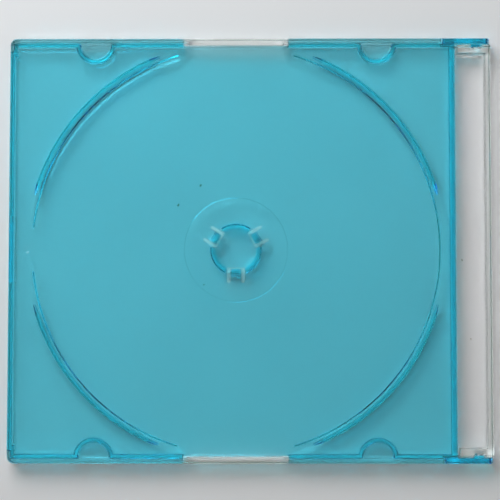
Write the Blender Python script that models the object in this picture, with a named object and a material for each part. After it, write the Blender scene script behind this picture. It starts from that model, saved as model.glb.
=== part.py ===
"""Slim jewel case for one optical disc, modelled closed and lying on its clear lid.

Two mouldings make the case. The clear lid lies below. The tinted tray lies on it, with the hub, the
disc-guard ribs and the rails on its inner side, which faces down. The tray's two arms carry the hinge pins
at the +X end, and the case opens at the -X end. The origin is at the middle of the footprint, at the height
of the table.
"""

import math

import bmesh
import bpy
from mathutils import Matrix, Vector

MM = 0.001

# The disc, which sets the size of the case
DISC_RADIUS = 60.0 * MM
FRONT_MARGIN = 6.8 * MM
BACK_MARGIN = 4.6 * MM
SIDE_MARGIN = 2.5 * MM
SPINE_STRIP = 10.6 * MM

# Whole case, closed
HEIGHT = 5.2 * MM
CORNER_RADIUS = 2.0 * MM
RIM_ROUNDING = 0.25 * MM

# Rounding in the corner between a wall and the plate or panel that carries it
ROOT_FILLET = 0.4 * MM

# Room left between a piece of the lid and a piece of the tray
FIT_GAP = 0.3 * MM

# Lid walls
PANEL_THICKNESS = 1.2 * MM
SIDE_WALL = 1.3 * MM
SPINE_WALL = 1.5 * MM
CORNER_RETURN_WALL = 0.8 * MM
CORNER_RETURN_LENGTH = 3.5 * MM

# Full-height tabs of the lid's side walls, which show in notches of the tray plate
WINDOW_LENGTH = 31.0 * MM
TAB_LENGTH = 28.5 * MM
TAB_WALL = 1.9 * MM

# Tray walls
PLATE_THICKNESS = 1.2 * MM
FRONT_WALL = 1.2 * MM
BACK_WALL = 1.5 * MM
RAIL_WALL = 0.8 * MM
CORNER_LEG_LENGTH = 3.4 * MM

# Closing lip at the middle of the tray's front wall
LIP_LENGTH = 19.3 * MM
LIP_LIFT = 0.2 * MM

# Half-moon booklet tabs of the lid, and the pockets round them in the tray's rails
POCKET_RADIUS = 4.8 * MM
POCKET_SPACING = 83.2 * MM
BOOKLET_ROOM = 1.0 * MM
BOOKLET_TAB_THICKNESS = 0.8 * MM
BOOKLET_TAB_CHAMFER = 0.15 * MM

# Closing bumps on the rails, and the recesses for them in the lid
BUMP_FROM_POCKET = 9.0 * MM
BUMP_LENGTH = 2.2 * MM
BUMP_HEIGHT = 0.5 * MM
BUMP_DEPTH = 1.5 * MM

# Guard ribs round the disc, wider at the plate than at their free edge. Their ends rise by the slope for
# each unit of length, and narrow to a share of the width.
GUARD_CLEARANCE = 0.75 * MM
GUARD_WALL = 1.3 * MM
GUARD_DRAFT = 0.15 * MM
GUARD_EDGE = 0.15 * MM
GUARD_START_ANGLE = 15.0
GUARD_END_FROM_RAIL = 2.3 * MM
GUARD_LIFT = 0.5 * MM
GUARD_END_SLOPE = 0.72
GUARD_END_WIDTH = 0.5

# Fine raised ring that the disc's middle lies on: it rises steeply and falls outwards in a long slope
SEAT_RADIUS = 15.05 * MM
SEAT_HEIGHT = 0.2 * MM
SEAT_RISE = 0.33 * MM
SEAT_FALL = 0.7 * MM

# Ring of the same kind under the disc's edge, open at the front and at both long sides
EDGE_RING_INSET = 0.25 * MM
EDGE_RING_HEIGHT = 0.3 * MM
EDGE_RING_RISE = 0.4 * MM
EDGE_RING_FALL = 0.8 * MM
EDGE_RING_SIDE_GAP = 34.0 * MM
EDGE_RING_FRONT_GAP = 13.0 * MM

# Mark of the gate that the plastic came in by: a shallow dish with a nub, by the front gap of the edge ring
GATE_FROM_FRONT = 5.4 * MM
GATE_RADIUS = 1.1 * MM
GATE_SLOPE = 0.3 * MM
GATE_DEPTH = 0.14 * MM
GATE_NUB_RADIUS = 0.45 * MM
GATE_NUB_HEIGHT = 0.1 * MM

# Hub and its three snap fingers
HUB_RADIUS = 7.45 * MM
HUB_WALL = 1.4 * MM
HUB_LIFT = 0.4 * MM
HUB_LEAD = 0.2 * MM
HUB_ROOT_FILLET = 0.25 * MM
HUB_ROOT_END = 60.0
FINGER_COUNT = 3
FINGER_FIRST_ANGLE = 30.0
FINGER_WIDTH = 3.2 * MM
FINGER_SLOT = 1.0 * MM
FINGER_TIP_SLOT = 0.5 * MM
FINGER_TIP_INSIDE_HUB = 0.25 * MM
FINGER_ROOT_RADIUS = 9.9 * MM
CATCH_WIDTH = 2.8 * MM
CATCH_WALL = 1.5 * MM
CATCH_OVERHANG = 0.5 * MM
CATCH_NOSE_HEIGHT = 0.6 * MM

# Hinge at the spine
PIVOT_FROM_SPINE = 4.1 * MM
ARM_WALL = 1.6 * MM
ARM_REACH = 9.6 * MM
ARM_CORNER = 0.8 * MM
EAR_WALL = 2.4 * MM
PIN_RADIUS = 1.6 * MM
PIN_TAPER = 0.4 * MM
PIN_LENGTH = 1.0 * MM
PIN_CLEARANCE = 0.15 * MM
RAMP_DEPTH = 0.7 * MM

# Facets
CORNER_STEPS = 8
FILLET_STEPS = 3
POCKET_STEPS = 20
HUB_STEPS = 72
RING_STEPS = 180
SLOT_STEPS = 6
PIN_STEPS = 32

# Edges that turn by more than this many degrees are shaded sharp
SHARP_ANGLE = 20.0

# Plastics: colour, roughness and transmission
TRAY_PLASTIC = ((0.03, 0.5, 0.68), 0.12, 0.85)
LID_PLASTIC = ((0.93, 0.95, 0.95), 0.05, 1.0)

# How far a joined piece runs into its carrier, and how far a cutter runs past the wall
JOIN = 0.4 * MM
PAST = 3.0 * MM

# Planes and axes that follow from the sizes
LENGTH = FRONT_MARGIN + 2 * DISC_RADIUS + BACK_MARGIN + SPINE_STRIP
WIDTH = 2 * (DISC_RADIUS + SIDE_MARGIN)
FRONT_X = -LENGTH / 2
SPINE_X = LENGTH / 2
SIDE_Y = WIDTH / 2
PLATE_LOW = HEIGHT - PLATE_THICKNESS
WALL_TOP = PLATE_LOW - FIT_GAP
RAIL_LOW = PANEL_THICKNESS + FIT_GAP
WALL_INNER_Y = SIDE_Y - SIDE_WALL
RAIL_OUTER_Y = WALL_INNER_Y - FIT_GAP
RAIL_INNER_Y = RAIL_OUTER_Y - RAIL_WALL
TAB_INNER_Y = SIDE_Y - TAB_WALL
WINDOW_Y = TAB_INNER_Y - FIT_GAP
DISC_X = FRONT_X + FRONT_MARGIN + DISC_RADIUS
POCKET_XS = (DISC_X - POCKET_SPACING / 2, DISC_X + POCKET_SPACING / 2)
WINDOW_XS = (DISC_X - WINDOW_LENGTH / 2, DISC_X + WINDOW_LENGTH / 2)
TAB_XS = (DISC_X - TAB_LENGTH / 2, DISC_X + TAB_LENGTH / 2)

HUB_INNER = HUB_RADIUS - HUB_WALL
FINGER_TIP = HUB_INNER - FINGER_TIP_INSIDE_HUB

PIVOT_X = SPINE_X - PIVOT_FROM_SPINE
PIVOT_Z = HEIGHT / 2
TRAY_END_X = SPINE_X - SPINE_STRIP
BACK_INNER_X = TRAY_END_X - BACK_WALL
ARM_INNER_Y = SIDE_Y - ARM_WALL
ARM_ROOT_X = PIVOT_X - ARM_REACH
EAR_OUTER_Y = ARM_INNER_Y - FIT_GAP
EAR_INNER_Y = EAR_OUTER_Y - EAR_WALL
# The arm's lower corner swings past the end of the lid's side wall, and the tray's back wall past the ear
WALL_END_X = PIVOT_X - math.hypot(ARM_REACH, PIVOT_Z) - FIT_GAP
EAR_X = PIVOT_X - math.sqrt((PIVOT_X - TRAY_END_X - FIT_GAP) ** 2 - PIVOT_Z**2)

FRONT_INNER_X = FRONT_X + FRONT_WALL
RETURN_INNER_X = FRONT_X + CORNER_RETURN_WALL
RETURN_END_Y = SIDE_Y - CORNER_RETURN_LENGTH
FRONT_END_Y = RETURN_END_Y - FIT_GAP
LEG_OUTER_X = RETURN_INNER_X + FIT_GAP
LEG_INNER_X = LEG_OUTER_X + RAIL_WALL
LEG_END_Y = RAIL_OUTER_Y - CORNER_LEG_LENGTH

# Far sides of cutters that leave the case
OUTSIDE_X = FRONT_X - PAST
OUTSIDE_Y = SIDE_Y + PAST


def arc(centre, radius, start, end, steps):
    """Points along a circle, from one angle in degrees to another."""
    points = []
    for index in range(steps + 1):
        angle = math.radians(start + (end - start) * index / steps)
        points.append((centre[0] + radius * math.cos(angle), centre[1] + radius * math.sin(angle)))
    return points


def circle(centre, radius, steps):
    """Points all the way round a circle."""
    return arc(centre, radius, 0, 360, steps)[:-1]


def turned(profile, angle):
    """Corners of a profile of (radius, height) pairs, turned about the disc's axis, in degrees."""
    along = math.cos(math.radians(angle))
    across = math.sin(math.radians(angle))
    return [(DISC_X + radius * along, radius * across, height) for radius, height in profile]


def turned_sector(profile, start, end, steps_round):
    """The loops of a profile that runs part of the way round the disc."""
    steps = max(2, round(steps_round * (end - start) / 360))
    return [turned(profile, start + (end - start) * index / steps) for index in range(steps + 1)]


def level(outline, height):
    """A plan outline as a loop of 3-D points."""
    return [(x, y, height) for x, y in outline]


def rectangle(x_low, x_high, y_low, y_high):
    """Corners of a rectangle in plan."""
    return [(x_low, y_low), (x_high, y_low), (x_high, y_high), (x_low, y_high)]


def mirrored(outline):
    """The same outline on the other long side."""
    return [(x, -y) for x, y in reversed(outline)]


def solid_mesh(bm, name):
    """A closed mesh with its faces pointing out."""
    bmesh.ops.recalc_face_normals(bm, faces=bm.faces[:])
    mesh = bpy.data.meshes.new(name)
    bm.to_mesh(mesh)
    bm.free()
    return mesh


def swept(name, loops, travel, places=(Matrix.Identity(4),)):
    """One object that holds each closed loop of 3-D points, swept along the travel, at each place."""
    bm = bmesh.new()
    for place in places:
        step = place.to_3x3() @ travel
        for loop in loops:
            face = bm.faces.new([bm.verts.new(place @ Vector(point)) for point in loop])
            grown = bmesh.ops.extrude_face_region(bm, geom=[face], use_keep_orig=True)
            verts = [item for item in grown["geom"] if isinstance(item, bmesh.types.BMVert)]
            bmesh.ops.translate(bm, verts=verts, vec=step)
    return bpy.data.objects.new(name, solid_mesh(bm, name))


def prisms(name, outlines, low, high):
    """Upright prisms over plan outlines."""
    loops = [level(outline, low) for outline in outlines]
    return swept(name, loops, Vector((0, 0, high - low)))


def lofted(name, stacks, endless=False):
    """One object with a body through each stack of loops, closed by caps or, if endless, on its start."""
    bm = bmesh.new()
    for stack in stacks:
        rings = [[bm.verts.new(point) for point in loop] for loop in stack]
        if endless:
            rings.append(rings[0])
        else:
            bm.faces.new(rings[0])
            bm.faces.new(rings[-1])
        for near, far in zip(rings, rings[1:]):
            for index in range(len(near)):
                bm.faces.new((near[index - 1], near[index], far[index], far[index - 1]))
    return bpy.data.objects.new(name, solid_mesh(bm, name))


def cones(name, sections):
    """Turned pieces on the hinge axis, one at each long side, from pairs of place across and radius."""
    stacks = []
    for side in (1, -1):
        loops = []
        for distance, radius in sections:
            points = circle((PIVOT_X, PIVOT_Z), radius, PIN_STEPS)
            loops.append([(x, side * distance, z) for x, z in points])
        stacks.append(loops)
    return lofted(name, stacks)


def inset(outline, distance):
    """An outline that runs anticlockwise, moved inwards by the same distance along every edge."""
    points = [Vector(point) for point in outline]
    moved = []
    for index, point in enumerate(points):
        before = (point - points[index - 1]).normalized()
        after = (points[(index + 1) % len(points)] - point).normalized()
        normals = Vector((-before.y, before.x)), Vector((-after.y, after.x))
        moved.append(point + (normals[0] + normals[1]) * (distance / (1 + normals[0].dot(normals[1]))))
    return moved


def rounded_rows(radius):
    """Rows that round an edge, from the face to the side: how far inwards, and how far from the face."""
    rows = []
    for step in range(FILLET_STEPS):
        turn = math.radians(90 * (1 - step / (FILLET_STEPS - 1)))
        rows.append((radius * (1 - math.cos(turn)), radius * (1 - math.sin(turn))))
    return rows


def case_block(name, outline):
    """The full-height block of a moulding, with the rims of its two faces rounded."""
    rows = rounded_rows(RIM_ROUNDING)
    rows += [(depth, HEIGHT - height) for depth, height in reversed(rows)]
    block = lofted(name, [[level(inset(outline, depth), height) for depth, height in rows]])
    bpy.context.collection.objects.link(block)
    return block


def filleted_cutter(name, outline, far, near):
    """A cutter from the far level to the near one, whose edge leaves a fillet at the root of each wall."""
    towards_far = 1 if far > near else -1
    rows = [(0, far)]
    rows += [(depth, near + towards_far * height) for depth, height in reversed(rounded_rows(ROOT_FILLET))]
    return lofted(name, [[level(inset(outline, depth), height) for depth, height in rows]])


def shape(target, tool, operation):
    """Join a piece to a moulding, or cut it out of it."""
    tool.hide_render = True
    tool.display_type = "WIRE"
    tool.parent = target
    bpy.context.collection.objects.link(tool)
    boolean = target.modifiers.new(tool.name, "BOOLEAN")
    boolean.operation = operation
    boolean.solver = "EXACT"
    boolean.object = tool


def join(target, tool):
    shape(target, tool, "UNION")


def cut(target, tool):
    shape(target, tool, "DIFFERENCE")


def keep_shape(target):
    """Make the evaluated shape the object's own mesh, smooth on its round faces, and drop the tools."""
    graph = bpy.context.evaluated_depsgraph_get()
    mesh = bpy.data.meshes.new_from_object(target.evaluated_get(graph))
    target.modifiers.clear()
    for tool in list(target.children):
        bpy.data.objects.remove(tool, do_unlink=True)
    mesh.name = target.name
    mesh.materials.clear()
    mesh.shade_smooth()
    mesh.set_sharp_from_angle(angle=math.radians(SHARP_ANGLE))
    target.data = mesh


def plastic(name, colour, roughness, transmission):
    """See-through polystyrene."""
    material = bpy.data.materials.new(name)
    material.use_nodes = True
    surface = material.node_tree.nodes["Principled BSDF"]
    surface.inputs["Base Color"].default_value = (*colour, 1)
    surface.inputs["Roughness"].default_value = roughness
    surface.inputs["Metallic"].default_value = 0
    surface.inputs["IOR"].default_value = 1.59
    surface.inputs["Transmission Weight"].default_value = transmission
    return material


def pocket_bite(pocket_x):
    """The rail's outer face where it runs round a half-moon pocket, for the side at +Y."""
    return arc((pocket_x, RAIL_OUTER_Y), POCKET_RADIUS, 180, 360, POCKET_STEPS)


def pocket_bulge(pocket_x):
    """The rail's inner face round the same pocket, in the other direction."""
    radius = POCKET_RADIUS + RAIL_WALL
    spread = math.degrees(math.asin(RAIL_WALL / radius))
    return arc((pocket_x, RAIL_OUTER_Y), radius, 360 - spread, 180 + spread, POCKET_STEPS)


def tray_outline():
    """Plan of the tray: plate with a notch in each long edge, and an arm at each side of the spine."""
    corner = (FRONT_X + CORNER_RADIUS, SIDE_Y - CORNER_RADIUS)
    arm_corner = (SPINE_X - ARM_CORNER, SIDE_Y - ARM_CORNER)
    half = [(TRAY_END_X, ARM_INNER_Y), (SPINE_X, ARM_INNER_Y)]
    half += arc(arm_corner, ARM_CORNER, 0, 90, CORNER_STEPS)
    half += [(WINDOW_XS[1], SIDE_Y), (WINDOW_XS[1], WINDOW_Y)]
    half += [(WINDOW_XS[0], WINDOW_Y), (WINDOW_XS[0], SIDE_Y)]
    half += arc(corner, CORNER_RADIUS, 90, 180, CORNER_STEPS)
    return half + mirrored(half)


def tray_core():
    """The space under the plate. What it leaves standing are the walls, the rails and the arms."""
    front, back = POCKET_XS
    half = [(BACK_INNER_X, RAIL_INNER_Y)]
    half += pocket_bulge(back)
    half += [(WINDOW_XS[1], RAIL_INNER_Y), (WINDOW_XS[1], RAIL_OUTER_Y)]
    half += pocket_bite(back)
    half += [(ARM_ROOT_X, RAIL_OUTER_Y), (ARM_ROOT_X, OUTSIDE_Y), (OUTSIDE_X, OUTSIDE_Y)]
    half += [(OUTSIDE_X, FRONT_END_Y), (LEG_OUTER_X, FRONT_END_Y), (LEG_OUTER_X, RAIL_OUTER_Y)]
    half += pocket_bite(front)
    half += [(WINDOW_XS[0], RAIL_OUTER_Y), (WINDOW_XS[0], RAIL_INNER_Y)]
    half += pocket_bulge(front)
    half += [(LEG_INNER_X, RAIL_INNER_Y), (LEG_INNER_X, LEG_END_Y), (FRONT_INNER_X, LEG_END_Y)]
    return filleted_cutter("tray_core", half + mirrored(half), -PAST, PLATE_LOW)


def tray_underside():
    """Brings the walls and rails clear of the lid's panel, and leaves the arms and the closing lip."""
    lip = LIP_LENGTH / 2
    beside_lip = FRONT_INNER_X + FIT_GAP
    past_end = TRAY_END_X + PAST
    half = [(past_end, ARM_INNER_Y), (ARM_ROOT_X, ARM_INNER_Y), (ARM_ROOT_X, OUTSIDE_Y)]
    half += [(OUTSIDE_X, OUTSIDE_Y), (OUTSIDE_X, lip), (beside_lip, lip)]
    return prisms("tray_underside", [half + mirrored(half)], -PAST, RAIL_LOW)


def lip_underside():
    """Lifts the closing lip off the table."""
    outline = rectangle(OUTSIDE_X, FRONT_INNER_X + FIT_GAP, -LIP_LENGTH, LIP_LENGTH)
    return prisms("lip_underside", [outline], -PAST, LIP_LIFT)


def arm_ends():
    """Rounds the free ends of the arms about the hinge axis."""
    radius = PIVOT_FROM_SPINE
    far = SPINE_X + PAST
    top = HEIGHT + PAST
    spread = math.degrees(math.asin(min(1, (PIVOT_Z + RIM_ROUNDING) / (radius + RIM_ROUNDING))))
    end = arc((PIVOT_X, PIVOT_Z), radius, -spread, spread, CORNER_STEPS)
    profile = [(end[0][0], -PAST)] + end + [(end[-1][0], top), (far, top), (far, -PAST)]
    loop = [(x, -OUTSIDE_Y, z) for x, z in profile]
    return swept("arm_ends", [loop], Vector((0, 2 * OUTSIDE_Y, 0)))


def guard_profile(width_share, low):
    """A guard rib across its length, down to its free edge at the given height."""
    middle = DISC_RADIUS + GUARD_CLEARANCE + GUARD_WALL / 2
    root = GUARD_WALL / 2 * width_share
    tip = root - GUARD_DRAFT * width_share
    edge = GUARD_EDGE * width_share
    top = PLATE_LOW + JOIN
    half = [(root, top), (tip, low + edge), (tip - edge, low)]
    return [(middle + x, z) for x, z in half] + [(middle - x, z) for x, z in reversed(half)]


def guard_rib(start, end):
    """The loops of one rib, whose two ends slope up to the plate and narrow."""
    low = PANEL_THICKNESS + GUARD_LIFT
    high = PLATE_LOW + JOIN / 2
    slope = math.degrees((high - low) / GUARD_END_SLOPE / DISC_RADIUS)
    tip = guard_profile(GUARD_END_WIDTH, high)
    shoulder = guard_profile((1 + GUARD_END_WIDTH) / 2, (low + high) / 2)
    loops = [turned(tip, start), turned(shoulder, start + slope / 2)]
    loops += turned_sector(guard_profile(1, low), start + slope, end - slope, RING_STEPS)
    return loops + [turned(shoulder, end - slope / 2), turned(tip, end)]


def disc_guards():
    """Four ribs round the disc, which stop short of the rails."""
    outer = DISC_RADIUS + GUARD_CLEARANCE + GUARD_WALL
    reach = RAIL_INNER_Y - GUARD_END_FROM_RAIL
    end = math.degrees(math.asin(min(1, reach / outer)))
    spans = [(GUARD_START_ANGLE, end), (180 - end, 180 - GUARD_START_ANGLE)]
    spans += [(180 + low, 180 + high) for low, high in spans]
    return lofted("disc_guards", [guard_rib(low, high) for low, high in spans])


def ring_profile(radius, height, rise, fall):
    """A fine ring across its length. Its two sides run on into the plate at the same slope."""
    deeper = JOIN / height
    top = PLATE_LOW + JOIN
    crest = (radius + rise, PLATE_LOW - height)
    return [(radius - rise * deeper, top), crest, (radius + rise + fall * (1 + deeper), top)]


def seat_ring():
    """The ring that the disc's middle lies on."""
    profile = ring_profile(SEAT_RADIUS, SEAT_HEIGHT, SEAT_RISE, SEAT_FALL)
    loops = turned_sector(profile, 0, 360, RING_STEPS)
    return lofted("seat_ring", [loops[:-1]], endless=True)


def edge_ring():
    """The ring under the disc's edge, open at the front and at both long sides."""
    radius = DISC_RADIUS - EDGE_RING_INSET
    side = math.degrees(math.asin(EDGE_RING_SIDE_GAP / 2 / radius))
    front = math.degrees(math.asin(EDGE_RING_FRONT_GAP / 2 / radius))
    spans = [(side - 90, 90 - side), (90 + side, 180 - front), (180 + front, 270 - side)]
    profile = ring_profile(radius, EDGE_RING_HEIGHT, EDGE_RING_RISE, EDGE_RING_FALL)
    return lofted("edge_ring", [turned_sector(profile, start, end, RING_STEPS) for start, end in spans])


def hub_well():
    """The plate's plain underside inside the hub."""
    return prisms("hub_well", [circle((DISC_X, 0), HUB_INNER, HUB_STEPS)], 0, PLATE_LOW)


def finger_angles():
    """Directions of the snap fingers from the disc's centre, in degrees."""
    return [FINGER_FIRST_ANGLE + 360 * index / FINGER_COUNT for index in range(FINGER_COUNT)]


def finger_places():
    """Where a shape drawn along +X from the origin goes, once for each finger."""
    turns = [Matrix.Rotation(math.radians(angle), 4, "Z") for angle in finger_angles()]
    return [Matrix.Translation((DISC_X, 0, 0)) @ turn for turn in turns]


def hub_root():
    """The rounded root of the hub's wall. Its last slope runs on into the plate."""
    centre = (HUB_RADIUS + HUB_ROOT_FILLET, PLATE_LOW - HUB_ROOT_FILLET)
    corners = arc(centre, HUB_ROOT_FILLET, 180, 180 - HUB_ROOT_END, FILLET_STEPS - 1)
    radius, height = corners[-1]
    deeper = PLATE_LOW + JOIN - height
    return corners + [(radius + deeper * math.tan(math.radians(HUB_ROOT_END)), height + deeper)]


def hub_walls():
    """The hub's wall between the fingers, with a lead-in edge, a little thick until the well is cut."""
    half_gap = math.degrees(math.asin((FINGER_WIDTH / 2 + FINGER_SLOT) / HUB_INNER))
    low = PANEL_THICKNESS + HUB_LIFT
    profile = [(HUB_INNER - JOIN, PLATE_LOW + JOIN), (HUB_INNER - JOIN, low), (HUB_RADIUS - HUB_LEAD, low)]
    profile.append((HUB_RADIUS, low + HUB_LEAD))
    profile += hub_root()
    stacks = []
    for angle in finger_angles():
        start = angle + half_gap
        end = angle + 360 / FINGER_COUNT - half_gap
        stacks.append(turned_sector(profile, start, end, HUB_STEPS))
    return lofted("hub_walls", stacks)


def finger_slots():
    """The U-shaped slot with round ends that frees each finger from the plate, and squares its tip."""
    half = FINGER_WIDTH / 2
    radius = FINGER_SLOT / 2
    upper = [(FINGER_TIP, half)]
    upper += arc((FINGER_ROOT_RADIUS - radius, half + radius), radius, -90, 90, SLOT_STEPS)
    upper += [(FINGER_TIP - FINGER_TIP_SLOT, half + FINGER_SLOT)]
    loop = [(x, y, 0) for x, y in upper + mirrored(upper)]
    return swept("finger_slots", [loop], Vector((0, 0, HEIGHT + PAST)), finger_places())


def finger_catches():
    """The upright of each finger, with a nose that holds the edge of the disc's hole."""
    inner = FINGER_TIP - FINGER_TIP_SLOT / 2
    outer = FINGER_TIP + CATCH_WALL
    nose = HUB_RADIUS + CATCH_OVERHANG
    low = PANEL_THICKNESS + HUB_LIFT
    ledge = low + CATCH_NOSE_HEIGHT
    profile = [(inner, PLATE_LOW + JOIN), (inner, low), (nose - CATCH_OVERHANG / 2, low), (nose, ledge)]
    profile += [(outer, ledge + CATCH_OVERHANG), (outer, PLATE_LOW + JOIN)]
    loop = [(x, -CATCH_WIDTH / 2, z) for x, z in profile]
    return swept("finger_catches", [loop], Vector((0, CATCH_WIDTH, 0)), finger_places())


def closing_bumps():
    """The bumps on the rails that click into the lid's recesses."""
    x = POCKET_XS[0] + BUMP_FROM_POCKET
    half = BUMP_LENGTH / 2
    crown = [(x + half, RAIL_OUTER_Y), (x + half / 2, RAIL_OUTER_Y + BUMP_HEIGHT)]
    crown += [(x - half / 2, RAIL_OUTER_Y + BUMP_HEIGHT), (x - half, RAIL_OUTER_Y)]
    root = [(x - half, RAIL_OUTER_Y - RAIL_WALL / 2), (x + half, RAIL_OUTER_Y - RAIL_WALL / 2)]
    outline = crown + root
    low = RAIL_LOW + FIT_GAP
    return prisms("closing_bumps", [outline, mirrored(outline)], low, low + BUMP_DEPTH)


def gate_place(radius):
    """A circle about the gate mark's centre."""
    return circle((FRONT_X + GATE_FROM_FRONT, 0), radius, POCKET_STEPS)


def gate_dish():
    """The shallow dish round the place where the gate was cut off."""
    floor = GATE_RADIUS - GATE_SLOPE
    mouth = floor + GATE_SLOPE * (GATE_DEPTH + JOIN) / GATE_DEPTH
    loops = [level(gate_place(floor), HEIGHT - GATE_DEPTH), level(gate_place(mouth), HEIGHT + JOIN)]
    return lofted("gate_dish", [loops])


def gate_nub():
    """What is left of the gate, which stays below the face."""
    low = HEIGHT - GATE_DEPTH
    root = level(gate_place(GATE_NUB_RADIUS), low - JOIN)
    tip = level(gate_place(GATE_NUB_RADIUS / 2), low + GATE_NUB_HEIGHT)
    return lofted("gate_nub", [[root, tip]])


def hinge_pins():
    """Short tapered pins on the inner faces of the arms."""
    tip = ARM_INNER_Y - PIN_LENGTH
    root = ARM_INNER_Y + ARM_WALL / 2
    sections = [(root, PIN_RADIUS), (ARM_INNER_Y, PIN_RADIUS), (tip, PIN_RADIUS - PIN_TAPER)]
    return cones("hinge_pins", sections)


def make_tray():
    tray = case_block("tray", tray_outline())
    cut(tray, tray_core())
    cut(tray, tray_underside())
    cut(tray, lip_underside())
    cut(tray, arm_ends())
    join(tray, disc_guards())
    join(tray, seat_ring())
    join(tray, edge_ring())
    join(tray, hub_walls())
    cut(tray, hub_well())
    join(tray, finger_catches())
    cut(tray, finger_slots())
    join(tray, closing_bumps())
    join(tray, hinge_pins())
    cut(tray, gate_dish())
    join(tray, gate_nub())
    keep_shape(tray)
    tray.data.materials.append(plastic("blue_polystyrene", *TRAY_PLASTIC))
    return tray


def lid_outline():
    """Plan of the lid, with its spine corners cut away for the arms."""
    corner = (FRONT_X + CORNER_RADIUS, SIDE_Y - CORNER_RADIUS)
    half = [(SPINE_X, EAR_OUTER_Y), (WALL_END_X, EAR_OUTER_Y), (WALL_END_X, SIDE_Y)]
    half += arc(corner, CORNER_RADIUS, 90, 180, CORNER_STEPS)
    return half + mirrored(half)


def lid_core():
    """The space above the panel. What it leaves are the walls, the tabs, the ears and the spine."""
    spine = SPINE_X - SPINE_WALL
    bevel = TAB_WALL - SIDE_WALL
    half = [(spine, EAR_INNER_Y), (EAR_X, EAR_INNER_Y), (EAR_X, WALL_INNER_Y)]
    half += [(TAB_XS[1], WALL_INNER_Y), (TAB_XS[1] - bevel, TAB_INNER_Y)]
    half += [(TAB_XS[0] + bevel, TAB_INNER_Y), (TAB_XS[0], WALL_INNER_Y)]
    half += [(RETURN_INNER_X, WALL_INNER_Y), (RETURN_INNER_X, RETURN_END_Y), (OUTSIDE_X, RETURN_END_Y)]
    return filleted_cutter("lid_core", half + mirrored(half), HEIGHT + PAST, PANEL_THICKNESS)


def wall_tops():
    """Lowers the side walls to pass under the tray's plate, but for the full-height tabs."""
    inner = RETURN_END_Y - PAST
    behind = (EAR_X + WALL_END_X) / 2
    front = rectangle(OUTSIDE_X, TAB_XS[0], inner, OUTSIDE_Y)
    back = rectangle(TAB_XS[1], behind, inner, OUTSIDE_Y)
    return prisms("wall_tops", [front, back, mirrored(front), mirrored(back)], WALL_TOP, HEIGHT + PAST)


def lip_notch():
    """The cut-out in the panel's front edge that the closing lip reaches into."""
    half = LIP_LENGTH / 2 + FIT_GAP
    return prisms("lip_notch", [rectangle(OUTSIDE_X, FRONT_INNER_X + FIT_GAP, -half, half)], -PAST, HEIGHT)


def booklet_tabs():
    """Half-moon tabs that hold a booklet against the panel."""
    radius = POCKET_RADIUS - FIT_GAP
    outlines = []
    for x in POCKET_XS:
        moon = arc((x, RAIL_OUTER_Y), radius, 180, 360, POCKET_STEPS)
        moon += [(x + radius, WALL_INNER_Y + JOIN), (x - radius, WALL_INNER_Y + JOIN)]
        outlines += [moon, mirrored(moon)]
    chamfer = BOOKLET_TAB_CHAMFER
    low = PANEL_THICKNESS + BOOKLET_ROOM
    high = low + BOOKLET_TAB_THICKNESS
    rows = [(chamfer, low), (0, low + chamfer), (0, high - chamfer), (chamfer, high)]
    stacks = [[level(inset(moon, depth), height) for depth, height in rows] for moon in outlines]
    return lofted("booklet_tabs", stacks)


def closing_recesses():
    """Recesses in the side walls for the tray's closing bumps, open at the top."""
    x = POCKET_XS[0] + BUMP_FROM_POCKET
    half = BUMP_LENGTH / 2 + FIT_GAP
    outer = RAIL_OUTER_Y + BUMP_HEIGHT + FIT_GAP
    outline = rectangle(x - half, x + half, RAIL_OUTER_Y, outer)
    return prisms("closing_recesses", [outline, mirrored(outline)], RAIL_LOW, HEIGHT)


def pin_sockets():
    """Blind tapered sockets in the outer faces of the ears."""
    mouth = PIN_RADIUS + PIN_CLEARANCE
    bottom = ARM_INNER_Y - PIN_LENGTH - FIT_GAP
    sections = [(ARM_INNER_Y + FIT_GAP, mouth), (ARM_INNER_Y, mouth), (bottom, mouth - PIN_TAPER)]
    return cones("pin_sockets", sections)


def pin_ramps():
    """Sloping grooves that lead a pin down the ear into its socket."""
    half = PIN_RADIUS + PIN_CLEARANCE
    slope = RAMP_DEPTH / (HEIGHT - PIVOT_Z)
    over = HEIGHT + FIT_GAP
    deepest = EAR_OUTER_Y - slope * (over - PIVOT_Z)
    profile = [(ARM_INNER_Y, PIVOT_Z), (ARM_INNER_Y, over), (deepest, over), (EAR_OUTER_Y, PIVOT_Z)]
    loops = [[(PIVOT_X - half, side * y, z) for y, z in profile] for side in (1, -1)]
    return swept("pin_ramps", loops, Vector((2 * half, 0, 0)))


def make_lid():
    lid = case_block("lid", lid_outline())
    cut(lid, lid_core())
    cut(lid, wall_tops())
    cut(lid, lip_notch())
    join(lid, booklet_tabs())
    cut(lid, closing_recesses())
    cut(lid, pin_sockets())
    cut(lid, pin_ramps())
    keep_shape(lid)
    lid.data.materials.append(plastic("clear_polystyrene", *LID_PLASTIC))
    return lid


def clear_scene():
    for item in list(bpy.data.objects):
        bpy.data.objects.remove(item, do_unlink=True)


def main():
    clear_scene()
    make_lid()
    tray = make_tray()
    hinge = bpy.data.objects.new("hinge_axis", None)
    hinge.location = (PIVOT_X, 0, PIVOT_Z)
    bpy.context.collection.objects.link(hinge)
    tray.parent = hinge
    tray.location = (-PIVOT_X, 0, -PIVOT_Z)


main()
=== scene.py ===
# %% [markdown]
# # A slim disc case, closed, lying on its clear lid
#
# The case is two mouldings. A clear lid lies on the table, and a tinted tray lies face down on it,
# so that the hub, the guard ribs and the rails show through the tray's plate. Nothing on it is
# opaque: each look at it goes through both mouldings to the table and back. A picture of it is
# therefore made by shape, by thickness and by light, and hardly at all by painted colour. This
# lesson sets the camera and the light first, then mixes the two plastics, and then dresses the two
# mouldings in them.

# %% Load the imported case
import math

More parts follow.
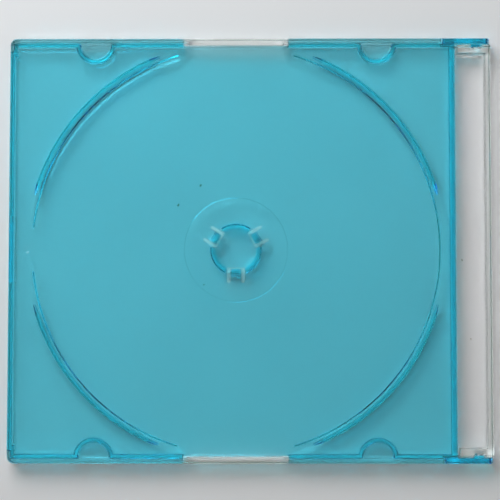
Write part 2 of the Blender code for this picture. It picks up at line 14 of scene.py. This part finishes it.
import bmesh
import bpy
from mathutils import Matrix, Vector


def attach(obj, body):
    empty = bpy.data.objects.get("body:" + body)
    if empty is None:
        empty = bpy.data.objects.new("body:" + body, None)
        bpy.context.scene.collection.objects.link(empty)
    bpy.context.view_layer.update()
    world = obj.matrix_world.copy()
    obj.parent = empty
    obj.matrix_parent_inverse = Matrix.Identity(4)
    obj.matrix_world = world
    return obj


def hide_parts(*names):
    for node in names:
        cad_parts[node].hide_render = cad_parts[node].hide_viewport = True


MM = 0.001

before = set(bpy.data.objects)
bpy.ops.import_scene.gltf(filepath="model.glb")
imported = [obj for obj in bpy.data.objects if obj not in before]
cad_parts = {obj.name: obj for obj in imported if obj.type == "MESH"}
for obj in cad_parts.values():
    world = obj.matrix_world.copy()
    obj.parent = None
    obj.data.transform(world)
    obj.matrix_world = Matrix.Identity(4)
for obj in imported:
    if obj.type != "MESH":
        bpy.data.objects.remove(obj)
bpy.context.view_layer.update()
scene = bpy.context.scene
scene.view_settings.view_transform = "Standard"


# %% [markdown]
# ## Camera
#
# The photograph looks almost straight down from 40 cm, as someone does who holds a phone over a
# table. The near edge of the case comes out a little larger than the far one, which gives the tilt
# of 3 degrees. A focal length in pixels is what such a fit gives, and the lens follows from it and
# the sensor's width.

# %% Camera above the case
PICTURE_SIDE = 500
FOCAL_PIXELS = 1347.3
SENSOR_WIDTH = 36
CAMERA_PLACE = (2.16 * MM, -21.55 * MM, 400 * MM)
CAMERA_TURN = (3.093, 0.322, 0.009)


def put_in_scene(name, data):
    """A new object with this data, linked to the scene."""
    item = bpy.data.objects.new(name, data)
    scene.collection.objects.link(item)
    return item


lens = bpy.data.cameras.new("camera")
lens.sensor_fit = "HORIZONTAL"
lens.sensor_width = SENSOR_WIDTH
lens.lens = FOCAL_PIXELS / PICTURE_SIDE * SENSOR_WIDTH
lens.clip_start = 10 * MM
camera = put_in_scene("camera", lens)
camera.location = CAMERA_PLACE
camera.rotation_euler = [math.radians(turn) for turn in CAMERA_TURN]
scene.camera = camera
print("lens:", round(lens.lens, 1), "mm")

# %% [markdown]
# ## Light
#
# A window beyond the far left corner lights the table. It is one soft lamp here, near enough for
# the table to grow darker towards the viewer, and high enough to throw short, soft shadows under
# the near edge. The room gives the rest back as a weak, slightly warm glow, which is the world's
# colour.

# %% Window and room
WINDOW_PLACE = (-0.2, 0.36, 0.37)
WINDOW_SIZE = (0.46, 0.34)
WINDOW_POWER = 2.55
WINDOW_COLOUR = (0.9, 0.955, 1.0)
ROOM_COLOUR = (1.0, 0.95, 0.9)
ROOM_STRENGTH = 0.27


def soft_lamp(name, place, size, power, colour):
    """A rectangular lamp that faces the middle of the case."""
    data = bpy.data.lights.new(name, "AREA")
    data.shape = "RECTANGLE"
    data.size, data.size_y = size
    data.energy = power
    data.color = colour
    lamp = put_in_scene(name, data)
    lamp.location = place
    lamp.rotation_euler = (-Vector(place)).to_track_quat("-Z", "Y").to_euler()
    return lamp


window = soft_lamp("window", WINDOW_PLACE, WINDOW_SIZE, WINDOW_POWER, WINDOW_COLOUR)
room = bpy.data.worlds.new("room")
room.use_nodes = True
glow = room.node_tree.nodes["Background"]
glow.inputs["Color"].default_value = (*ROOM_COLOUR, 1)
glow.inputs["Strength"].default_value = ROOM_STRENGTH
scene.world = room
print("window:", round(window.location.length, 2), "m away")

# %% [markdown]
# ## Light through clear plastic
#
# A ray that meets the tray, the lid and the table crosses eight surfaces on its way to the lamp,
# and more where it bounces inside a rib. The renderer's usual limits end such rays early, and its
# filter for bright reflections takes light away at each surface, so both are opened up.

# %% Paths long enough for two clear mouldings
LONGEST_PATH = 32
scene.cycles.max_bounces = LONGEST_PATH
scene.cycles.transmission_bounces = LONGEST_PATH
scene.cycles.glossy_bounces = LONGEST_PATH // 2
scene.cycles.diffuse_bounces = LONGEST_PATH // 4
scene.cycles.blur_glossy = 0
scene.cycles.sample_clamp_indirect = 0
print("surfaces on one path:", LONGEST_PATH)

# %% [markdown]
# ## Table
#
# The table is plain and pale. It lies a hair below the lid, so that the two flat faces never meet.

# %% Table top
TABLE_HALF_SIDE = 3.0
TABLE_DROP = 0.05 * MM
TABLE_WHITE = (0.86, 0.86, 0.86, 1)
TABLE_ROUGHNESS = 0.9
SQUARE = ((-1, -1), (1, -1), (1, 1), (-1, 1))


def new_material(name):
    """A new material, its node tree and its Principled surface, ready to be set."""
    material = bpy.data.materials.new(name)
    material.use_nodes = True
    return material, material.node_tree, material.node_tree.nodes["Principled BSDF"]


corners = [(x * TABLE_HALF_SIDE, y * TABLE_HALF_SIDE, -TABLE_DROP) for x, y in SQUARE]
table_mesh = bpy.data.meshes.new("table")
table_mesh.from_pydata(corners, [], [(0, 1, 2, 3)])
table = put_in_scene("table", table_mesh)
paint, _, paint_surface = new_material("pale_table_paint")
paint_surface.inputs["Base Color"].default_value = TABLE_WHITE
paint_surface.inputs["Roughness"].default_value = TABLE_ROUGHNESS
table_mesh.materials.append(paint)
print("table:", 2 * TABLE_HALF_SIDE, "m wide")

# %% [markdown]
# ## Three effects that both plastics share
#
# Both mouldings come out of polished steel and have both been carried about, so they share three
# effects. Each is a shader node group with named inputs, which each plastic fills in for itself:
#
# - **flow clouds**: the melt cools unevenly, which leaves very faint, soft patches in the tint;
# - **handling scratches**: fine straight hairlines in two directions, from sliding on other cases;
# - **dent**: one shallow round dent at a given place, with a dull floor.
#
# The dent's Height goes to a Bump node, and the masks go to roughness. The groups read Object
# coordinates, so that their patterns stay with a moulding as it turns on its hinge. Each is kept
# to very few noise layers, because a ray asks for them again at every surface that it crosses.

# %% Helpers for building groups
def new_group(name, inputs, outputs):
    """An empty shader group. Inputs are (name, type, default) and outputs are (name, type)."""
    group = bpy.data.node_groups.new(name, "ShaderNodeTree")
    for title, kind, value in inputs:
        socket = group.interface.new_socket(title, in_out="INPUT", socket_type=kind)
        if value is not None:
            socket.default_value = value
    for title, kind in outputs:
        group.interface.new_socket(title, in_out="OUTPUT", socket_type=kind)
    return group, group.nodes.new("NodeGroupInput"), group.nodes.new("NodeGroupOutput")


def feed(tree, socket, source):
    """Links a socket to another one, or sets it to a plain value."""
    if isinstance(source, bpy.types.NodeSocket):
        tree.links.new(source, socket)
    else:
        socket.default_value = source


def maths(tree, operation, *sources):
    """A Math node on two or three sources; gives back its output."""
    node = tree.nodes.new("ShaderNodeMath")
    node.operation = operation
    for socket, source in zip(node.inputs, sources):
        feed(tree, socket, source)
    return node.outputs["Value"]


def vector_maths(tree, operation, first, second, output="Vector"):
    """A Vector Math node on two sources; gives back the named output."""
    node = tree.nodes.new("ShaderNodeVectorMath")
    node.operation = operation
    feed(tree, node.inputs[0], first)
    feed(tree, node.inputs[1], second)
    return node.outputs[output]


def noise(tree, place, scale, detail):
    """A noise texture at this place and scale; gives back its value from 0 to 1."""
    node = tree.nodes.new("ShaderNodeTexNoise")
    feed(tree, node.inputs["Vector"], place)
    feed(tree, node.inputs["Scale"], scale)
    node.inputs["Detail"].default_value = detail
    return node.outputs["Fac"]


def ramp_up(tree, value, low, high):
    """A smooth step from 0 at one value to 1 at another."""
    node = tree.nodes.new("ShaderNodeMapRange")
    node.interpolation_type = "SMOOTHSTEP"
    feed(tree, node.inputs["Value"], value)
    feed(tree, node.inputs["From Min"], low)
    feed(tree, node.inputs["From Max"], high)
    return node.outputs["Result"]


# %% Flow clouds
CLOUD_DETAIL = 1.0
CLOUD_EDGES = (0.3, 0.7)


def build_flow_clouds():
    """Soft patches: the tint goes from one colour to another and back over some centimetres."""
    inputs = [("Place", "NodeSocketVector", None), ("Clouds Per Metre", "NodeSocketFloat", 30.0),
              ("Bright Tint", "NodeSocketColor", (1, 1, 1, 1)),
              ("Dull Tint", "NodeSocketColor", (0.9, 0.9, 0.9, 1))]
    group, given, result = new_group("flow_clouds", inputs, [("Tint", "NodeSocketColor")])
    patches = noise(group, given.outputs["Place"], given.outputs["Clouds Per Metre"], CLOUD_DETAIL)
    mix = group.nodes.new("ShaderNodeMix")
    mix.data_type = "RGBA"
    feed(group, mix.inputs["Factor"], ramp_up(group, patches, *CLOUD_EDGES))
    feed(group, mix.inputs["A"], given.outputs["Bright Tint"])
    feed(group, mix.inputs["B"], given.outputs["Dull Tint"])
    feed(group, result.inputs["Tint"], mix.outputs["Result"])
    return group


flow_clouds = build_flow_clouds()
print(flow_clouds.name, len(flow_clouds.nodes), "nodes")


# %% Handling scratches
HAIRLINE_TURNS = (24, 118)
HAIRLINE_STRETCH = (0.02, 1, 1)
HAIRLINE_EDGE = 0.05


def hairlines(tree, place, turn, per_metre, share):
    """Broken hairlines in one direction: the crests of a noise that is drawn out along them."""
    lay = tree.nodes.new("ShaderNodeMapping")
    feed(tree, lay.inputs["Vector"], place)
    lay.inputs["Rotation"].default_value = (0, 0, math.radians(turn))
    lay.inputs["Scale"].default_value = HAIRLINE_STRETCH
    crests = noise(tree, lay.outputs["Vector"], per_metre, 0.0)
    floor_level = maths(tree, "SUBTRACT", 1.0, share)
    return ramp_up(tree, crests, floor_level, maths(tree, "ADD", floor_level, HAIRLINE_EDGE))


def build_handling_scratches():
    """Two directions of hairlines. Puts out their mask."""
    inputs = [("Place", "NodeSocketVector", None), ("Lines Per Metre", "NodeSocketFloat", 900.0),
              ("Share", "NodeSocketFloat", 0.28)]
    group, given, result = new_group("handling_scratches", inputs, [("Mask", "NodeSocketFloat")])
    asked = [given.outputs[title] for title in ("Lines Per Metre", "Share")]
    masks = [hairlines(group, given.outputs["Place"], turn, *asked) for turn in HAIRLINE_TURNS]
    feed(group, result.inputs["Mask"], maths(group, "MAXIMUM", *masks))
    return group


handling_scratches = build_handling_scratches()
print(handling_scratches.name, len(handling_scratches.nodes), "nodes")


# %% One dent
def build_dent():
    """A shallow round dent at a centre. Puts out its mask and its height."""
    inputs = [("Place", "NodeSocketVector", None), ("Centre", "NodeSocketVector", None),
              ("Radius", "NodeSocketFloat", 0.5 * MM), ("Depth", "NodeSocketFloat", 0.02 * MM)]
    outputs = [("Mask", "NodeSocketFloat"), ("Height", "NodeSocketFloat")]
    group, given, result = new_group("dent", inputs, outputs)
    away = vector_maths(group, "DISTANCE", given.outputs["Place"], given.outputs["Centre"], "Value")
    mask = maths(group, "SUBTRACT", 1.0, ramp_up(group, away, 0.0, given.outputs["Radius"]))
    down = maths(group, "MULTIPLY", given.outputs["Depth"], -1.0)
    feed(group, result.inputs["Mask"], mask)
    feed(group, result.inputs["Height"], maths(group, "MULTIPLY", mask, down))
    return group


dent = build_dent()
print(dent.name, len(dent.nodes), "nodes")

# %% [markdown]
# ## The two plastics
#
# Both are polystyrene with a refractive index of 1.59. Colour comes from how far the light travels
# in the plastic, so it is set as the volume's absorption: a rib or the hub's wall, seen along its
# height, then turns deeper blue by itself. A little of the tint sits on the surface, as the
# clouds. The lid has the same recipe with almost nothing absorbed, which leaves its edges faintly
# green, and a skin that age has turned very slightly warm. The two numbers of a gloss are the
# roughness of the polished skin and that of a scratch or a dent.

# %% Mixing a clear plastic
POLYSTYRENE_INDEX = 1.59


def use_group(tree, group, values):
    """Places a group in a material with its own values; gives back the node."""
    node = tree.nodes.new("ShaderNodeGroup")
    node.node_tree = group
    for title, value in values.items():
        feed(tree, node.inputs[title], value)
    return node


def clear_plastic(name, absorbed, density, tints, gloss, dents):
    """A see-through plastic with clouds, hairlines and dents. Gives back the material."""
    material, tree, surface = new_material(name)
    place = tree.nodes.new("ShaderNodeTexCoord").outputs["Object"]
    bright, dull = tints
    clouds = use_group(tree, flow_clouds, {"Place": place, "Bright Tint": bright, "Dull Tint": dull})
    scratches = use_group(tree, handling_scratches, {"Place": place})
    height = 0.0
    wear = scratches.outputs["Mask"]
    for centre, radius in dents:
        pit = use_group(tree, dent, {"Place": place, "Centre": centre, "Radius": radius})
        height = maths(tree, "ADD", height, pit.outputs["Height"])
        wear = maths(tree, "MAXIMUM", wear, pit.outputs["Mask"])
    bump = tree.nodes.new("ShaderNodeBump")
    bump.inputs["Distance"].default_value = 1.0
    feed(tree, bump.inputs["Height"], height)
    feed(tree, surface.inputs["Normal"], bump.outputs["Normal"])
    feed(tree, surface.inputs["Base Color"], clouds.outputs["Tint"])
    polished, worn = gloss
    shine = maths(tree, "MULTIPLY_ADD", wear, worn - polished, polished)
    feed(tree, surface.inputs["Roughness"], shine)
    surface.inputs["IOR"].default_value = POLYSTYRENE_INDEX
    surface.inputs["Transmission Weight"].default_value = 1
    depth = tree.nodes.new("ShaderNodeVolumeAbsorption")
    depth.inputs["Color"].default_value = (*absorbed, 1)
    depth.inputs["Density"].default_value = density
    feed(tree, tree.nodes["Material Output"].inputs["Volume"], depth.outputs["Volume"])
    return material


# %% Cyan for the tray
TRAY_ABSORBED = (0.0, 0.965, 1.0)
TRAY_DENSITY = 770
TRAY_TINTS = [(1, 0.93, 1, 1), (0.985, 0.92, 0.99, 1)]
TRAY_GLOSS = (0.05, 0.12)
TRAY_DENTS = [((-15.1 * MM, 19.1 * MM, 5.2 * MM), 0.6 * MM),
              ((-21.3 * MM, 13.2 * MM, 5.2 * MM), 0.4 * MM)]

tinted_polystyrene = clear_plastic("tinted_polystyrene", TRAY_ABSORBED, TRAY_DENSITY, TRAY_TINTS,
                                   TRAY_GLOSS, TRAY_DENTS)

# %% Near-clear for the lid
LID_ABSORBED = (0.6, 0.9, 0.8)
LID_DENSITY = 20
LID_TINTS = [(1, 0.985, 0.985, 1), (0.99, 0.975, 0.975, 1)]
LID_GLOSS = (0.03, 0.12)
LID_DENTS = [((62.9 * MM, -3.3 * MM, 1.2 * MM), 0.4 * MM)]

clear_polystyrene = clear_plastic("clear_polystyrene", LID_ABSORBED, LID_DENSITY, LID_TINTS,
                                  LID_GLOSS, LID_DENTS)
print("mixed:", tinted_polystyrene.name, "and", clear_polystyrene.name)

# %% [markdown]
# ## The two mouldings
#
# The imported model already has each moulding's true shape, but as loose flat triangles. In clear
# plastic each facet of a round corner would bend the light on its own, so a copy of each moulding
# has its corners merged, its round faces shaded smooth and its real edges kept sharp. Weighted
# normals then keep the broad flat faces flat. Their shapes stay as they are, so nothing is
# subdivided.

# %% Smooth copies of the mouldings
MERGE_DISTANCE = 0.001 * MM
SHARP_FROM = math.radians(18)
LARGE_FACES_ONLY = 100
SAME_AREA = 0.0001


def merged_mesh(name, source):
    """A mesh with the source's faces, whose touching corners are merged."""
    bm = bmesh.new()
    bm.from_mesh(source.data)
    bm.transform(source.matrix_world)
    bmesh.ops.remove_doubles(bm, verts=bm.verts, dist=MERGE_DISTANCE)
    bm.verts.index_update()
    mesh = bpy.data.meshes.new(name)
    faces = [[vert.index for vert in face.verts] for face in bm.faces]
    mesh.from_pydata([vert.co[:] for vert in bm.verts], [], faces)
    bm.free()
    return mesh


def as_plain_mesh(piece):
    """Turns what the modifiers make into the piece's own mesh, and removes them."""
    graph = bpy.context.evaluated_depsgraph_get()
    piece.data = bpy.data.meshes.new_from_object(piece.evaluated_get(graph))
    piece.modifiers.clear()
    return piece


def moulding(body, material):
    """The smooth copy of one moulding, in its plastic."""
    name = body + "_moulding"
    mesh = merged_mesh(name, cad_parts[body])
    mesh.shade_smooth()
    mesh.set_sharp_from_angle(angle=SHARP_FROM)
    mesh.materials.append(material)
    piece = put_in_scene(name, mesh)
    weights = piece.modifiers.new("flat_faces_first", "WEIGHTED_NORMAL")
    weights.keep_sharp = True
    weights.weight = LARGE_FACES_ONLY
    weights.thresh = SAME_AREA
    as_plain_mesh(piece)
    print(name, len(piece.data.polygons), "faces")
    return piece


tray = moulding("tray", tinted_polystyrene)
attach(tray, "tray")
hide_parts("tray")

lid = moulding("lid", clear_polystyrene)
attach(lid, "lid")
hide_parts("lid")

# %% [markdown]
# ## Specks
#
# A few specks of dirt have got into the case and stick to its inner faces. They repeat, so
# Geometry Nodes set them out: a small mesh holds one point for each speck, and the tree puts a
# flattened ball on each, with its own size and turn from a fixed seed. The lumps are real
# geometry, up to about a millimetre across, so that they cast a shadow and are seen from any side.

# %% Specks of dirt
BALL_ROUNDS = 2
SPECK_WIDTH = 0.6


def build_speck_tree():
    """A tree that puts one flattened lump on each point of a mesh."""
    tree = bpy.data.node_groups.new("specks_on_points", "GeometryNodeTree")
    inputs = [("Points", "NodeSocketGeometry", None), ("Smallest", "NodeSocketFloat", 0.06 * MM),
              ("Largest", "NodeSocketFloat", 0.2 * MM), ("Flatness", "NodeSocketFloat", 0.12),
              ("Seed", "NodeSocketInt", 7), ("Finish", "NodeSocketMaterial", None)]
    for title, kind, value in inputs:
        socket = tree.interface.new_socket(title, in_out="INPUT", socket_type=kind)
        if value is not None:
            socket.default_value = value
    tree.interface.new_socket("Specks", in_out="OUTPUT", socket_type="NodeSocketGeometry")
    return tree


def random_value(tree, kind, seed, low, high):
    """A random value or vector between two bounds; gives back its output."""
    node = tree.nodes.new("FunctionNodeRandomValue")
    node.data_type = kind
    numbers = [socket for socket in node.inputs if socket.enabled and socket.name in ("Min", "Max")]
    feed(tree, numbers[0], low)
    feed(tree, numbers[1], high)
    feed(tree, node.inputs["Seed"], seed)
    return [socket for socket in node.outputs if socket.enabled][0]


def fill_speck_tree(tree):
    """Ball, random size and turn, instances on the points, then real mesh and its finish."""
    given = tree.nodes.new("NodeGroupInput").outputs
    result = tree.nodes.new("NodeGroupOutput")
    ball = tree.nodes.new("GeometryNodeMeshIcoSphere")
    ball.inputs["Radius"].default_value = 1.0
    ball.inputs["Subdivisions"].default_value = BALL_ROUNDS
    flatten = tree.nodes.new("GeometryNodeTransform")
    feed(tree, flatten.inputs["Geometry"], ball.outputs["Mesh"])
    shape = tree.nodes.new("ShaderNodeCombineXYZ")
    shape.inputs["X"].default_value = 1.0
    shape.inputs["Y"].default_value = SPECK_WIDTH
    feed(tree, shape.inputs["Z"], given["Flatness"])
    feed(tree, flatten.inputs["Scale"], shape.outputs["Vector"])
    place = tree.nodes.new("GeometryNodeInstanceOnPoints")
    feed(tree, place.inputs["Points"], given["Points"])
    feed(tree, place.inputs["Instance"], flatten.outputs["Geometry"])
    turn = random_value(tree, "FLOAT_VECTOR", given["Seed"], (0, 0, 0), (0, 0, math.tau))
    feed(tree, place.inputs["Rotation"], turn)
    size = random_value(tree, "FLOAT", given["Seed"], given["Smallest"], given["Largest"])
    feed(tree, place.inputs["Scale"], size)
    real = tree.nodes.new("GeometryNodeRealizeInstances")
    feed(tree, real.inputs["Geometry"], place.outputs["Instances"])
    finish = tree.nodes.new("GeometryNodeSetMaterial")
    feed(tree, finish.inputs["Geometry"], real.outputs["Geometry"])
    feed(tree, finish.inputs["Material"], given["Finish"])
    feed(tree, result.inputs["Specks"], finish.outputs["Geometry"])


speck_tree = build_speck_tree()
fill_speck_tree(speck_tree)
print(speck_tree.name, len(speck_tree.nodes), "nodes")


# %% Dry dirt
DIRT_LIGHT = (0.45, 0.4, 0.3, 1)
DIRT_DARK = (0.25, 0.22, 0.16, 1)
GRAINS_PER_METRE = 9000.0
DIRT_ROUGHNESS = 0.95


def dirt_material():
    """Dry, pale brown dirt, a little uneven."""
    material, tree, surface = new_material("dry_dirt")
    place = tree.nodes.new("ShaderNodeTexCoord").outputs["Object"]
    grains = use_group(tree, flow_clouds, {"Place": place, "Clouds Per Metre": GRAINS_PER_METRE,
                                           "Bright Tint": DIRT_LIGHT, "Dull Tint": DIRT_DARK})
    feed(tree, surface.inputs["Base Color"], grains.outputs["Tint"])
    surface.inputs["Roughness"].default_value = DIRT_ROUGHNESS
    return material


dry_dirt = dirt_material()
print("mixed:", dry_dirt.name)


# %% Specks inside the tray and inside the lid
def set_input(modifier, tree, title, value):
    """Sets a modifier's input by the identifier of the socket with this title."""
    for item in tree.interface.items_tree:
        if item.item_type == "SOCKET" and item.in_out == "INPUT" and item.name == title:
            modifier[item.identifier] = value


def specks(name, body, places, sizes, seed):
    """Specks at these places, in millimetres, riding on a body. Sizes are two radii, in metres."""
    mesh = bpy.data.meshes.new(name)
    mesh.from_pydata([Vector(place) * MM for place in places], [], [])
    piece = put_in_scene(name, mesh)
    nodes = piece.modifiers.new("specks", "NODES")
    nodes.node_group = speck_tree
    values = {"Smallest": sizes[0], "Largest": sizes[1], "Seed": seed, "Finish": dry_dirt}
    for title, value in values.items():
        set_input(nodes, speck_tree, title, value)
    as_plain_mesh(piece)
    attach(piece, body)
    print(name, len(places), "specks,", len(piece.data.polygons), "faces")
    return piece


TRAY_INSIDE = 3.93
TRAY_PLACES = [(-14.6, 18.9, TRAY_INSIDE), (-13.6, -10.35, TRAY_INSIDE), (-21.2, 13.1, TRAY_INSIDE)]
TRAY_SPECK_SIZES = (0.25 * MM, 0.55 * MM)
tray_specks = specks("tray_specks", "tray", TRAY_PLACES, TRAY_SPECK_SIZES, seed=4)

LID_INSIDE = 1.27
LID_PLACES = [(62.7, -3.0, LID_INSIDE), (65.1, -26.3, LID_INSIDE)]
LID_SPECK_SIZES = (0.2 * MM, 0.4 * MM)
lid_specks = specks("lid_specks", "lid", LID_PLACES, LID_SPECK_SIZES, seed=11)
